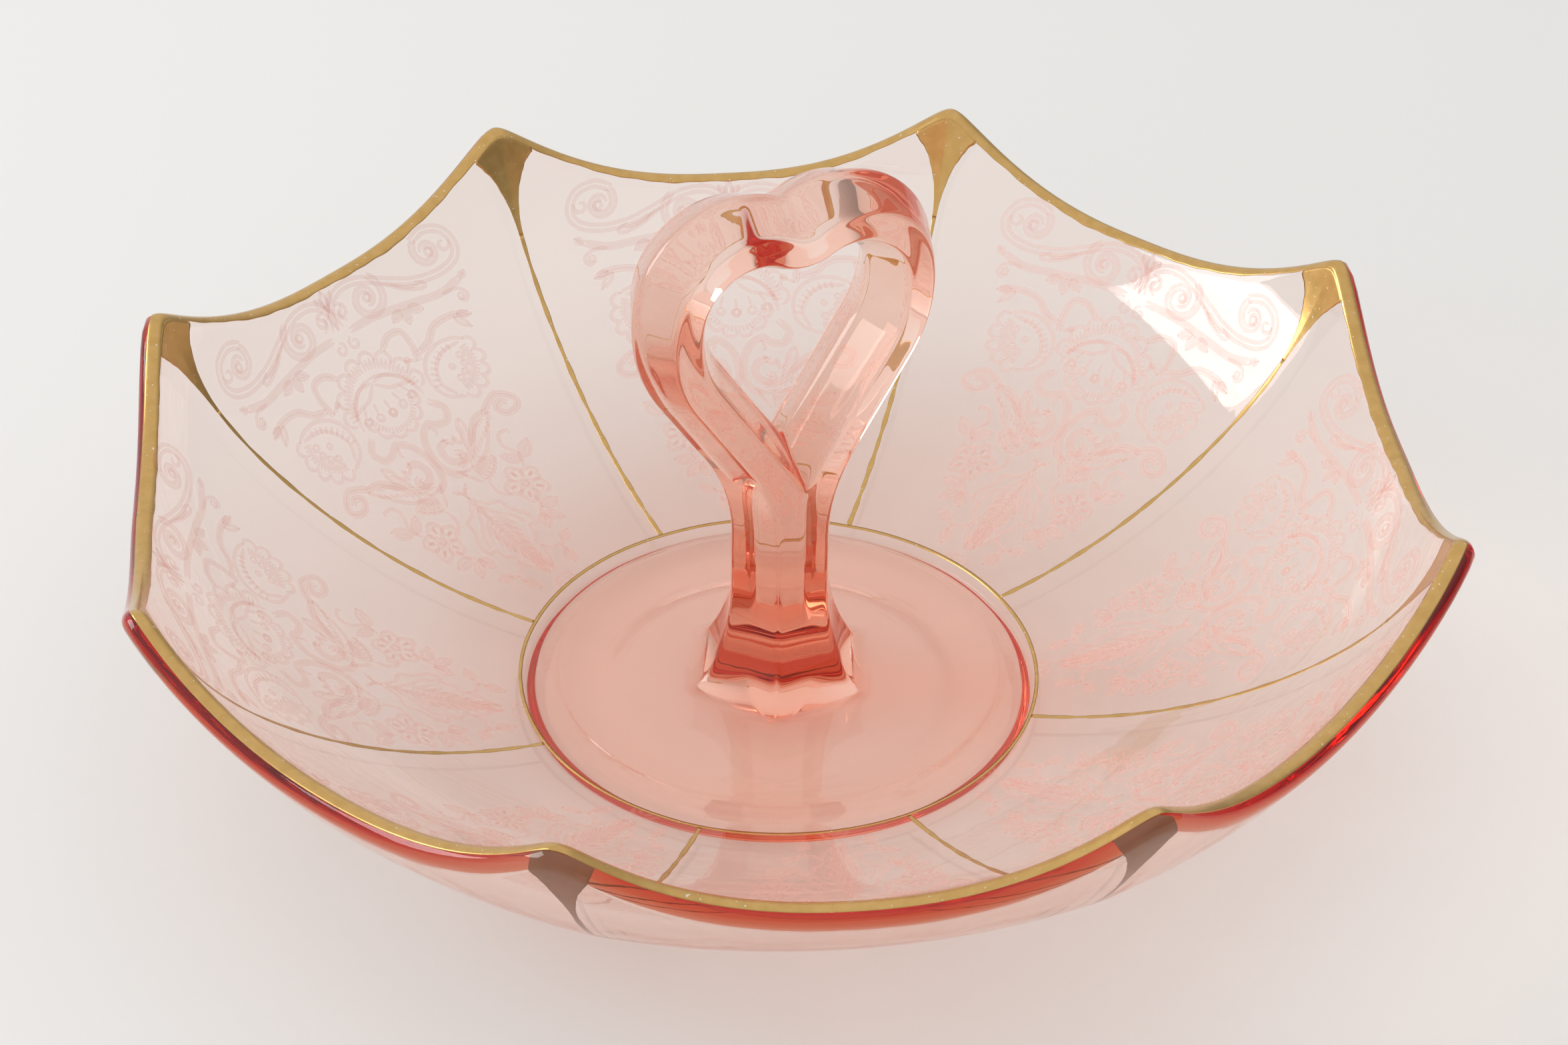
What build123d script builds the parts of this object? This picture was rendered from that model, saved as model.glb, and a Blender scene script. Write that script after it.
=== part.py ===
"""Centre-handled pressed-glass candy dish with gilded rim, ribs and ring line.

Millimetres. +Z is up and the origin is the centre of the foot's resting plane.
+X runs to a rim tip and is the heart handle's width; +Y is the handle's depth.
The real dish is one glass pressing with gold fired on, so the glass nodes are its zones
(foot, bowl, centre disc, stem, loop), which meet face to face, and each gold stroke is a film.
"""
from build123d import *
from math import acos, asin, cos, degrees, hypot, radians, sin, sqrt, tan
import os

os.makedirs("parts", exist_ok=True)

# Bowl
panels = 8
tip_radius = 127.0        # outside, from the axis to a rim tip
rim_tip_height = 63.3     # top of the rim at a tip
rim_low_height = 49.1     # top of the rim at the middle of a panel
tip_rounding = 4.5        # radius that rounds each tip
wall = 4.7
lower_bend = 103.5        # inside radius of the wall where it leaves the floor
upper_bend = 67.2         # inside radius of the wall near the rim
bend_change = 41.9        # wall slope, in degrees, where the bends meet
wall_end_slope = 78.0     # slope at which the profile stops, above the rim
panel_shift = 17.0        # each panel turns about an axis this far behind the bowl's own

# Foot and centre disc
foot_height = 1.6
foot_outer_radius = 46.6
foot_inner_radius = 33.0  # inside edge of the ring it rests on
foot_draft = 0.9          # how much wider the foot is at its top
recess_radius = 30.5      # flat part of the shallow hollow under the foot
recess_depth = 0.8
disc_height = 2.8
disc_base_radius = 46.0
disc_top_radius = 42.6

# Handle: hexagonal stem and heart loop
handle_depth = 18.0       # across the front and back faces
base_flare = 36.7         # face radius where the stem spreads onto the disc
base_flare_height = 21.2  # height of that spread
neck_height = 33.7        # disc to where the stem starts to widen again
top_flare = 42.0          # face radius where the stem widens into the loop
stem_height = 45.2        # disc to the top of the stem
loop_face_width = 5.6     # width of the loop's flat front face
loop_ridge = 4.2          # how far each middle ridge stands beyond the front face
lobe_radius = 13.4        # middle of the band
lobe_spacing = 19.4       # between the centres of the lobes
lobe_height = 84.0        # disc to the lobe centres
side_radius = 24.2        # middle of the band, below the lobes
side_start = 8.4          # degrees above level where the side arc takes over from the lobe
notch_radius = 8.0        # middle of the band, at the dip between the lobes
leg_lean = 33.3           # degrees between a straight leg and upright

# Gold
film = 0.25
rim_band = 3.5            # height of the gold down the inside of the rim
rib_line_width = 0.9
fan_start_radius = 112.5  # where a rib line opens into its fan
fan_curve = 14.0          # plan radius of a fan's hollow sides
ring_line_radius = 49.1
ring_line_width = 0.7

# Worked out from the values above
half_turn = 180 / panels
floor_height = foot_height + wall
disc_top = floor_height + disc_height
half_depth = handle_depth / 2
upper_turn = radians(bend_change)
beyond = 2 * tip_radius   # larger than the dish, for cutting shapes


def shifted(radius):
    """Distance from a panel's own axis of a point on a rib at this radius."""
    return hypot(radius * cos(radians(half_turn)) + panel_shift, radius * sin(radians(half_turn)))


upper_centre_rise = lower_bend - (lower_bend - upper_bend) * cos(upper_turn)
tip_slope = acos((floor_height + upper_centre_rise - rim_tip_height) / (upper_bend + wall))
floor_reach = (shifted(tip_radius) - (lower_bend - upper_bend) * sin(upper_turn)
               - (upper_bend + wall) * sin(tip_slope))
lower_centre = (floor_reach, floor_height + lower_bend)
upper_centre = (floor_reach + (lower_bend - upper_bend) * sin(upper_turn), floor_height + upper_centre_rise)

tip_across = (tip_radius - wall / sin(tip_slope)) * sin(radians(half_turn))
tip_centre = rim_tip_height - tip_rounding
scallop_depth = tip_centre - rim_low_height
scallop_radius = ((tip_across ** 2 + scallop_depth ** 2 - tip_rounding ** 2)
                  / (2 * (tip_rounding + scallop_depth)))
scallop_centre = rim_low_height + scallop_radius
scallop_turn = degrees(asin(tip_across / (scallop_radius + tip_rounding)))


def bend(centre, radius, start, end):
    """Arc of the wall's profile between two slopes, in degrees."""
    return CenterArc(centre, radius, start - 90, end - start)


def wall_panel(near, far, rim_drop):
    """One panel of the wall, between two offsets from its inside face, with its scallop cut."""
    with BuildPart() as panel:
        with BuildSketch(Plane.XZ.move(Location((-panel_shift, 0, 0)))):
            with BuildLine():
                inside = bend(upper_centre, upper_bend + near, bend_change, wall_end_slope)
                outside = bend(upper_centre, upper_bend + far, bend_change, wall_end_slope)
                bend(lower_centre, lower_bend + near, 0, bend_change)
                bend(lower_centre, lower_bend + far, 0, bend_change)
                Line(inside @ 1, outside @ 1)
                Polyline((floor_reach, floor_height - near), (0, floor_height - near),
                         (0, floor_height - far), (floor_reach, floor_height - far))
            make_face()
        revolve(axis=Axis((-panel_shift, 0, 0), (0, 0, 1)))
        with BuildSketch():
            reach = beyond * sin(radians(half_turn)) / cos(radians(half_turn))
            Polygon((0, 0), (beyond, -reach), (beyond, reach), align=None)
        extrude(amount=beyond, mode=Mode.INTERSECT)
        with BuildSketch(Plane.YZ):
            with BuildLine():
                CenterArc((0, scallop_centre), scallop_radius + rim_drop, -90, scallop_turn)
                tip = CenterArc((tip_across, tip_centre), tip_rounding - rim_drop, 90, scallop_turn)
                Polyline(tip @ 0, (beyond, (tip @ 0).Y), (beyond, beyond), (0, beyond))
                mirror(about=Plane.YZ)
            make_face()
        extrude(amount=beyond, mode=Mode.SUBTRACT)
    return panel.part


def wall_ring(near, far, rim_drop):
    """All the panels of a layer of the wall, its rim lowered by rim_drop."""
    with BuildPart() as ring:
        with PolarLocations(0, panels, start_angle=half_turn):
            add(wall_panel(near, far, rim_drop))
    return ring.part


with BuildPart() as bowl:
    add(wall_ring(0, wall, film))
bowl.part.label = "bowl"

with BuildPart() as foot:
    with BuildSketch(Plane.XZ):
        Polygon((0, recess_depth), (recess_radius, recess_depth), (foot_inner_radius, 0),
                (foot_outer_radius, 0), (foot_outer_radius + foot_draft, foot_height + wall / 2),
                (0, foot_height + wall / 2), align=None)
    revolve(axis=Axis.Z)
    add(bowl.part, mode=Mode.SUBTRACT)
foot.part.label = "foot"

with BuildPart() as centre_disc:
    with BuildSketch(Plane.XZ):
        Polygon((0, floor_height - wall / 2), (disc_base_radius, floor_height - wall / 2),
                (disc_base_radius, floor_height), (disc_top_radius, disc_top), (0, disc_top), align=None)
    revolve(axis=Axis.Z)
    add(bowl.part, mode=Mode.SUBTRACT)
centre_disc.part.label = "centre_disc"


def stem_slab(azimuth, top_reach):
    """Slab between two opposite faces of the hexagonal stem, spreading at the foot and head."""
    across = Vector(1, 0, 0).rotate(Axis.Z, azimuth)
    along = across.rotate(Axis.Z, -90)
    flare_top = disc_top + base_flare_height
    neck_top = disc_top + neck_height
    head = disc_top + stem_height
    foot_angle = degrees(asin(base_flare_height / base_flare))
    head_angle = degrees(asin((head - neck_top) / top_flare)) if top_reach else 0
    with BuildPart() as slab:
        with BuildSketch(Plane(origin=(0, 0, 0), x_dir=across, z_dir=along)):
            with BuildLine():
                spread = CenterArc((half_depth + base_flare, flare_top), base_flare, 180, foot_angle)
                neck = Line((half_depth, flare_top), (half_depth, neck_top))
                if top_reach:
                    top = CenterArc((half_depth + top_flare, neck_top), top_flare, 180, -head_angle)
                else:
                    top = Line(neck @ 1, (half_depth, head))
                Line(top @ 1, (0, head))
                Line(spread @ 1, (0, disc_top))
                mirror(about=Plane.YZ)
            make_face()
        extrude(amount=beyond, both=True)
    return slab.part


with BuildPart() as handle_stem:
    add(stem_slab(90, False))
    add(stem_slab(30, True), mode=Mode.INTERSECT)
    add(stem_slab(-30, True), mode=Mode.INTERSECT)
handle_stem.part.label = "handle_stem"

lobe = Vector(lobe_spacing / 2, disc_top + lobe_height)
side = lobe - Vector(side_radius - lobe_radius, 0).rotate(Axis.Z, side_start)
notch_rise = sqrt((lobe_radius + notch_radius) ** 2 - lobe.X ** 2)
notch_angle = degrees(asin(notch_rise / (lobe_radius + notch_radius)))


def heart_solid(middle_reach, face_reach):
    """Heart whose outline stands outside the band's middle line by these amounts."""
    with BuildPart() as heart:
        for depth, reach in ((-half_depth, face_reach), (0, middle_reach), (half_depth, face_reach)):
            leg_top = side + Vector(side_radius + reach, 0).rotate(Axis.Z, -leg_lean)
            leg_foot = Vector(0, leg_top.Y - leg_top.X / tan(radians(leg_lean)))
            with BuildSketch(Plane.XZ.offset(depth)):
                with BuildLine():
                    Line(leg_foot, leg_top)
                    CenterArc(side, side_radius + reach, -leg_lean, leg_lean + side_start)
                    CenterArc(lobe, lobe_radius + reach, side_start, 180 - notch_angle - side_start)
                    CenterArc((0, lobe.Y + notch_rise), notch_radius - reach, -90, 90 - notch_angle)
                    mirror(about=Plane.YZ)
                make_face()
        loft(ruled=True)
    return heart.part


with BuildPart() as heart_loop:
    face_reach = loop_face_width / 2
    add(heart_solid(face_reach + loop_ridge, face_reach))
    add(heart_solid(-face_reach - loop_ridge, -face_reach), mode=Mode.SUBTRACT)
    split(bisect_by=Plane.XY.offset(disc_top + stem_height), keep=Keep.TOP)
heart_loop.part.label = "heart_loop"

below_band = wall_ring(-film, wall, rim_band)
gold_skin = wall_ring(-film, 0, rim_band)

with BuildPart() as rim_gilding:
    add(wall_ring(-film, wall, 0))
    add(bowl.part, mode=Mode.SUBTRACT)
    add(below_band, mode=Mode.SUBTRACT)
rim_gilding.part.label = "rim_gilding"

with BuildPart() as centre_ring_line:
    with BuildSketch():
        Circle(ring_line_radius + ring_line_width / 2)
        Circle(ring_line_radius - ring_line_width / 2, mode=Mode.SUBTRACT)
    extrude(amount=beyond)
    add(gold_skin, mode=Mode.INTERSECT)
centre_ring_line.part.label = "centre_ring_line"

with BuildPart() as rib_stroke:
    with BuildSketch():
        with Locations((ring_line_radius, 0)):
            Rectangle(fan_start_radius - ring_line_radius, rib_line_width, align=(Align.MIN, Align.CENTER))
        Circle(ring_line_radius + ring_line_width / 2, mode=Mode.SUBTRACT)
    extrude(amount=beyond)
    add(gold_skin, mode=Mode.INTERSECT)

with BuildPart() as fan_stroke:
    with BuildSketch():
        with BuildLine():
            edge = CenterArc((fan_start_radius, fan_curve + rib_line_width / 2), fan_curve, -90, 85)
            Line((fan_start_radius, 0), edge @ 0)
            Polyline(edge @ 1, (tip_radius + fan_curve, (edge @ 1).Y), (tip_radius + fan_curve, 0))
            mirror(about=Plane.XZ)
        make_face()
    extrude(amount=beyond)
    add(gold_skin, mode=Mode.INTERSECT)

glass = [foot, bowl, centre_disc, handle_stem, heart_loop]
for piece in glass + [rim_gilding, centre_ring_line]:
    export_step(piece.part, f"parts/{piece.part.label}.step")

for number in range(1, panels + 1):
    for name, stroke in (("rib_line", rib_stroke), ("corner_gilding", fan_stroke)):
        with BuildPart() as gold_stroke:
            add(stroke.part, rotation=(0, 0, (number - 1) * 360 / panels))
        gold_stroke.part.label = f"{name}_{number}"
        export_step(gold_stroke.part, f"parts/{gold_stroke.part.label}.step")
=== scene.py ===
"""Looks of the centre-handled pink glass candy dish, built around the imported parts.

Lengths in this script are millimetres until mesh_object() turns them into metres.
The glass is one pressing, so one watertight mesh stands for all its zones.
"""
import bmesh
import bpy
import math
import numpy as np
from mathutils import Matrix, Vector


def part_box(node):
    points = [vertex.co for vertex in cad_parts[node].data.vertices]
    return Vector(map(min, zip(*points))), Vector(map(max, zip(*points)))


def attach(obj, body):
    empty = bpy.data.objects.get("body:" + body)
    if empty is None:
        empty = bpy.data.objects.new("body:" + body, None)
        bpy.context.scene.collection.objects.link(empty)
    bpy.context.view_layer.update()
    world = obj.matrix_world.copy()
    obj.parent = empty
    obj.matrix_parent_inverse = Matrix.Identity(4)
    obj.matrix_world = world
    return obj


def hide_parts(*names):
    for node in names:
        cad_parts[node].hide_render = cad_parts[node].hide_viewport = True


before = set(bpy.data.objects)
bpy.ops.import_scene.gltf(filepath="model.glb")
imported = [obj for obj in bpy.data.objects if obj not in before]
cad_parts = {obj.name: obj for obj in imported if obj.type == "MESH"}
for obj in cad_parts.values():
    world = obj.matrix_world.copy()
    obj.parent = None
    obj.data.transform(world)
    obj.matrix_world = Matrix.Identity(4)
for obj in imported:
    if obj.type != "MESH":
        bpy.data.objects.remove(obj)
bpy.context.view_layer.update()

MM = 0.001
TAU = 2 * math.pi


def cad_mm(node):
    """Lowest and highest corner of a CAD node, in millimetres."""
    low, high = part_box(node)
    return low / MM, high / MM


# ---------------------------------------------------------------- sizes that the frame gives
PANELS = 8
TIP_RADIUS = cad_mm("rim_gilding")[1].x
TIP_HEIGHT = cad_mm("rim_gilding")[1].z
DISC_TOP = cad_mm("centre_disc")[1].z
DISC_BASE_RADIUS = cad_mm("centre_disc")[1].x
FLOOR = DISC_TOP - 2.8
HALF_DEPTH = cad_mm("heart_loop")[1].y
FOOT_OUTER = 46.6
FOOT_INNER = 33.0
RECESS = 0.8              # depth of the hollow under the foot

# ---------------------------------------------------------------- shapes of the glass
WALL = 4.7
RIM_LOW = TIP_HEIGHT - 14.2   # top of the rim at the middle of a panel
LOWER_BEND = 103.5        # inside radius of the wall's profile near the floor
UPPER_BEND = 67.2         # and near the rim
BEND_CHANGE = math.radians(41.9)
PANEL_SHIFT = 17.0        # each panel turns about an axis this far behind the bowl's own
HALF_TURN = math.pi / PANELS
DISC_EDGE_RADIUS = 42.6
NECK_APOTHEM = 9.0
LOBE_RADIUS = 13.4
LOBE = np.array((9.7, DISC_TOP + 84.0))
SIDE_RADIUS = 24.2
SIDE_START = math.radians(8.4)
NOTCH_RADIUS = 8.0
LEG_LEAN = math.radians(33.3)
FACE_REACH = 2.8          # half the width of the loop's flat front face
RIDGE_REACH = 7.0         # from the middle of the band to its ridges
COLUMNS = 288             # round the dish: every 1.25 degrees
EDGE_SOFTENING = 13       # passes that round the handle's long edges
WELD_DISTANCE = 0.004     # points closer than this are joined

azimuths = np.arange(COLUMNS) * TAU / COLUMNS


def shifted(radius):
    """Distance from a panel's own axis of a point on a rib at this radius."""
    return math.hypot(radius * math.cos(HALF_TURN) + PANEL_SHIFT, radius * math.sin(HALF_TURN))


UPPER_RISE = LOWER_BEND - (LOWER_BEND - UPPER_BEND) * math.cos(BEND_CHANGE)
TIP_SLOPE = math.acos((FLOOR + UPPER_RISE - TIP_HEIGHT) / (UPPER_BEND + WALL))
FLOOR_REACH = (shifted(TIP_RADIUS) - (LOWER_BEND - UPPER_BEND) * math.sin(BEND_CHANGE)
               - (UPPER_BEND + WALL) * math.sin(TIP_SLOPE))


def panel_angle(azimuth):
    """Angle from the middle of the panel that holds this azimuth."""
    return np.mod(azimuth, 2 * HALF_TURN) - HALF_TURN


def wall_point(slope, offset, azimuth):
    """Radius and height of the wall where its profile has this slope, offset out from the inside face."""
    lower = slope <= BEND_CHANGE
    turn = np.where(lower, 0.0, (LOWER_BEND - UPPER_BEND) * math.sin(BEND_CHANGE))
    bend = np.where(lower, LOWER_BEND, UPPER_BEND) + offset
    rise = np.where(lower, LOWER_BEND, UPPER_RISE)
    reach = FLOOR_REACH + turn + bend * np.sin(slope)
    height = FLOOR + rise - bend * np.cos(slope)
    side = PANEL_SHIFT * np.sin(panel_angle(azimuth))
    radius = np.sqrt(reach ** 2 - side ** 2) - PANEL_SHIFT * np.cos(panel_angle(azimuth))
    return radius, height


def slope_at_height(height, offset):
    """Slope of the wall's profile where it reaches this height."""
    upper = np.arccos(np.clip((FLOOR + UPPER_RISE - height) / (UPPER_BEND + offset), -1, 1))
    lower = np.arccos(np.clip((FLOOR + LOWER_BEND - height) / (LOWER_BEND + offset), -1, 1))
    return np.where(upper > BEND_CHANGE, upper, lower)


def slope_at_radius(radius, offset, azimuth):
    """Slope of the wall's profile where it reaches this distance from the bowl's axis."""
    reach = np.hypot(radius * np.cos(panel_angle(azimuth)) + PANEL_SHIFT,
                     radius * np.sin(panel_angle(azimuth)))
    lower = np.arcsin(np.clip((reach - FLOOR_REACH) / (LOWER_BEND + offset), -1, 1))
    turn = (LOWER_BEND - UPPER_BEND) * math.sin(BEND_CHANGE)
    upper = np.arcsin(np.clip((reach - FLOOR_REACH - turn) / (UPPER_BEND + offset), -1, 1))
    return np.where(lower > BEND_CHANGE, upper, lower)


TIP_SOFTNESS = 0.055      # how far from a tip its rounding reaches, as a share of half a panel
SCALLOP_POWER = 2.4       # flat-bottomed scallops that steepen towards the tips


def rim_height(azimuth):
    """Top of the rim: scallops between rounded tips."""
    share = np.abs(np.tan(panel_angle(azimuth))) / math.tan(HALF_TURN)
    rounded = 1 - np.sqrt((1 - share) ** 2 + TIP_SOFTNESS ** 2)
    depth = (TIP_HEIGHT - 0.1 - RIM_LOW) / (1 - TIP_SOFTNESS) ** SCALLOP_POWER
    return RIM_LOW + depth * np.clip(rounded, 0, 1) ** SCALLOP_POWER


def rim_slope(azimuth):
    """Slope of the wall's profile at the centre of the rounded rim."""
    return slope_at_height(rim_height(azimuth) - WALL / 2, WALL / 2)


# ---------------------------------------------------------------- meshes
def mesh_object(name, points, faces, material, smooth=True):
    """Makes an object from points in millimetres."""
    mesh = bpy.data.meshes.new(name)
    mesh.from_pydata((np.asarray(points, float) * MM).tolist(), [], faces)
    mesh.update()
    mesh.materials.append(material)
    mesh.polygons.foreach_set("use_smooth", [smooth] * len(mesh.polygons))
    made = bpy.data.objects.new(name, mesh)
    bpy.context.scene.collection.objects.link(made)
    return made


def polar(radius, height, azimuth):
    """Points from radius, height and azimuth arrays."""
    radius, height, azimuth = np.broadcast_arrays(radius, height, azimuth)
    return np.stack((radius * np.cos(azimuth), radius * np.sin(azimuth), height), axis=-1)


def grid_faces(rows, columns, start=0, closed=True, flip=False):
    """Quads of a grid of points that are stored row by row; closed joins the last column to the first."""
    faces = []
    for row in range(rows - 1):
        for column in range(columns if closed else columns - 1):
            a = start + row * columns + column
            b = start + row * columns + (column + 1) % columns
            quad = (a, b, b + columns, a + columns)
            faces.append(quad[::-1] if flip else quad)
    return faces


def hexagon(apothem, azimuth, sharpness=34.0):
    """Radius of a hexagon with softly rounded corners, whose flat faces look along Y."""
    total = 0
    for face in range(6):
        lean = np.cos(azimuth - math.pi / 6 - face * math.pi / 3)
        total = total + np.clip(lean, 0, None) ** sharpness
    return apothem / total ** (1 / sharpness)


def spread_profile(steps):
    """Apothem and height up the foot of the stem, from the disc's top to the straight neck."""
    fillet, flare, turn = 6.0, 36.7, math.radians(28)
    neck = DISC_TOP + flare * math.sin(turn) + fillet * (1 - math.sin(turn))
    wide = NECK_APOTHEM + flare * (1 - math.cos(turn))
    for angle in np.linspace(math.pi / 2, turn, steps, endpoint=False):
        yield (wide + fillet * (math.cos(turn) - math.cos(angle)),
               neck - flare * math.sin(turn) - fillet * (math.sin(angle) - math.sin(turn)))
    for angle in np.linspace(turn, 0, steps + 1):
        yield NECK_APOTHEM + flare * (1 - math.cos(angle)), neck - flare * math.sin(angle)


def bowl_rows():
    """Rings of the glass from the foot of the stem out over the rim and in to the middle underneath."""
    rows = []
    spread = list(spread_profile(12))
    for apothem, height in reversed(spread):
        rows.append(polar(hexagon(apothem, azimuths), height, azimuths))
    edge_bend = 1.5
    for share in np.linspace(0, 1, 8)[1:]:
        hexed = hexagon(spread[0][0], azimuths, 34 - 26 * share)
        circle = DISC_EDGE_RADIUS - edge_bend
        rows.append(polar(hexed + (circle - hexed) * share, DISC_TOP, azimuths))
    side_lean = math.atan2(DISC_BASE_RADIUS - DISC_EDGE_RADIUS, DISC_TOP - FLOOR)
    drop = math.pi / 2 - side_lean
    for angle in np.linspace(0, drop, 6)[1:]:
        rows.append(polar(DISC_EDGE_RADIUS - edge_bend + edge_bend * math.sin(angle),
                          DISC_TOP - edge_bend * (1 - math.cos(angle)), azimuths))
    channel = slope_at_radius(DISC_BASE_RADIUS + 0.9, 0, azimuths)
    channel_radius, channel_height = wall_point(channel, 0, azimuths)
    last = rows[-1]
    last_radius = np.hypot(last[:, 0], last[:, 1])
    for share in (0.3, 0.6, 0.82, 0.94):
        bow = 0.28 * math.sin(math.pi * share ** 2)
        rows.append(polar(last_radius + (channel_radius - last_radius) * (share + 0.05 * share * (1 - share)),
                          last[:, 2] + (channel_height - last[:, 2]) * share - bow * 0.4, azimuths))
    top = rim_slope(azimuths)
    for share in np.linspace(0, 1, 64):
        slope = channel + (top - channel) * share
        rows.append(polar(*wall_point(slope, 0, azimuths), azimuths))
    for angle in np.linspace(0, math.pi, 14)[1:-1]:
        middle_radius, middle_height = wall_point(top, WALL / 2, azimuths)
        inward, upward = WALL / 2 * math.cos(angle), WALL / 2 * math.sin(angle)
        rows.append(polar(middle_radius - inward * np.sin(top) + upward * np.cos(top),
                          middle_height + inward * np.cos(top) + upward * np.sin(top), azimuths))
    junction = slope_at_radius(FOOT_OUTER + 3.2, WALL, azimuths)
    for share in np.linspace(0, 1, 64):
        slope = top + (junction - top) * share
        rows.append(polar(*wall_point(slope, WALL, azimuths), azimuths))
    under = rows[-1][:, 2].mean()
    for radius, height in ((FOOT_OUTER + 1.7, under - 0.2), (FOOT_OUTER + 1.0, under * 0.62),
                           (FOOT_OUTER + 0.6, under * 0.4),
                           (FOOT_OUTER, 0.22), (FOOT_OUTER - 1.2, 0.1), (FOOT_OUTER - 4, 0.03),
                           (FOOT_OUTER - 6.8, 0.0), (FOOT_INNER + 4, 0.03), (FOOT_INNER + 1.6, 0.07),
                           (FOOT_INNER + 0.4, 0.18), (FOOT_INNER - 0.8, 0.4), (FOOT_INNER - 2, 0.62),
                           (FOOT_INNER - 3.4, 0.75), (FOOT_INNER - 5, RECESS), (22, RECESS), (12, RECESS),
                           (4, RECESS)):
        rows.append(polar(radius, height, azimuths))
    return rows


# The handle's right half is built ring by ring and mirrored. A ring runs from the middle of the
# front face, out over the right-hand ridge and back to the middle of the rear face; round the loop
# it goes on over the inner ridge. Its points share the columns of the bowl's rings.
OUTER = COLUMNS // 2
INNER = 48
FACE_SHARE = np.tan(np.radians(np.arange(24) * 1.25)) / math.tan(math.radians(30))
SLANT_SHARE = (np.tan(np.radians(np.arange(48) * 1.25 - 30)) / math.tan(math.radians(30)) + 1) / 2
LEG_BLEND = 32.0          # hollow radius where the stem widens into a leg

side_centre = LOBE - (SIDE_RADIUS - LOBE_RADIUS) * np.array((math.cos(SIDE_START), math.sin(SIDE_START)))
leg_top = side_centre + SIDE_RADIUS * np.array((math.cos(LEG_LEAN), -math.sin(LEG_LEAN)))
leg_along = np.array((math.sin(LEG_LEAN), math.cos(LEG_LEAN)))
leg_out = np.array((math.cos(LEG_LEAN), -math.sin(LEG_LEAN)))
leg_length = leg_top[0] / math.sin(LEG_LEAN)
leg_foot = leg_top - leg_along * leg_length
notch_rise = math.sqrt((LOBE_RADIUS + NOTCH_RADIUS) ** 2 - LOBE[0] ** 2)
notch_angle = math.asin(notch_rise / (LOBE_RADIUS + NOTCH_RADIUS))


def outer_edge(height, reach, neck_half):
    """Half-width of an outside edge of the handle: upright neck, hollow blend, straight leg."""
    foot_x, foot_z = leg_foot + leg_out * reach
    lean = math.tan(LEG_LEAN)
    crossing = foot_z + (neck_half - foot_x) / lean
    tangent = LEG_BLEND * math.tan(LEG_LEAN / 2)
    if height <= crossing - tangent:
        return neck_half
    if height >= crossing + tangent * math.cos(LEG_LEAN):
        return foot_x + (height - foot_z) * lean
    rise = height - (crossing - tangent)
    return neck_half + LEG_BLEND - math.sqrt(LEG_BLEND ** 2 - rise ** 2)


def ring_points(inner_front, outer_front, ridge, inner_ridge=None):
    """A ring from its corners in the XZ plane; the faces stand HALF_DEPTH in front and behind."""
    def at(corner, depth):
        return np.array((corner[0], depth, corner[1]))

    near, far = -HALF_DEPTH, HALF_DEPTH
    edge_share, slant_share = FACE_SHARE[:, None], SLANT_SHARE[:, None]
    a, b, c = at(inner_front, near), at(outer_front, near), at(ridge, 0)
    b_back, a_back = at(outer_front, far), at(inner_front, far)
    points = [a + (b - a) * edge_share, b + (c - b) * slant_share,
              c + (b_back - c) * slant_share, b_back + (a_back - b_back) * (1 - edge_share[::-1])]
    points[3][0] = b_back
    points.append(a_back[None])
    if inner_ridge is not None:
        d = at(inner_ridge, 0)
        steps = np.linspace(0, 1, INNER // 2 + 1)[:, None]
        points.append((a_back + (d - a_back) * steps)[1:])
        points.append((d + (a - d) * steps)[1:-1])
    return np.concatenate(points)


def soften(ring, passes, closed):
    """Rounds the corners of a ring by averaging neighbours; an open ring is mirrored at its ends."""
    for _ in range(passes):
        if closed:
            before, after = np.roll(ring, 1, 0), np.roll(ring, -1, 0)
        else:
            flip = np.array((-1, 1, 1))
            before = np.concatenate((ring[1:2] * flip, ring[:-1]))
            after = np.concatenate((ring[1:], ring[-2:-1] * flip))
        ring = ring * 0.5 + before * 0.25 + after * 0.25
    return ring


def stem_rings(first_height):
    """Rings from the straight neck up to the crotch of the loop, right half only."""
    crotch = FACE_REACH / math.tan(LEG_LEAN)
    top_front = (leg_foot + leg_along * crotch - leg_out * FACE_REACH)[1]
    top_edge = (leg_foot + leg_along * crotch + leg_out * FACE_REACH)[1]
    top_ridge = (leg_foot + leg_along * crotch + leg_out * RIDGE_REACH)[1]
    corner_half = NECK_APOTHEM * math.tan(math.pi / 6)
    ridge_half = NECK_APOTHEM / math.cos(math.pi / 6)
    rings = []
    for share in np.linspace(0, 1, 34)[1:]:
        heights = [first_height + (top - first_height) * share for top in (top_front, top_edge, top_ridge)]
        rings.append(ring_points((0, heights[0]),
                                 (outer_edge(heights[1], FACE_REACH, corner_half), heights[1]),
                                 (outer_edge(heights[2], RIDGE_REACH, ridge_half), heights[2])))
    return rings, crotch, corner_half, ridge_half


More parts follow.
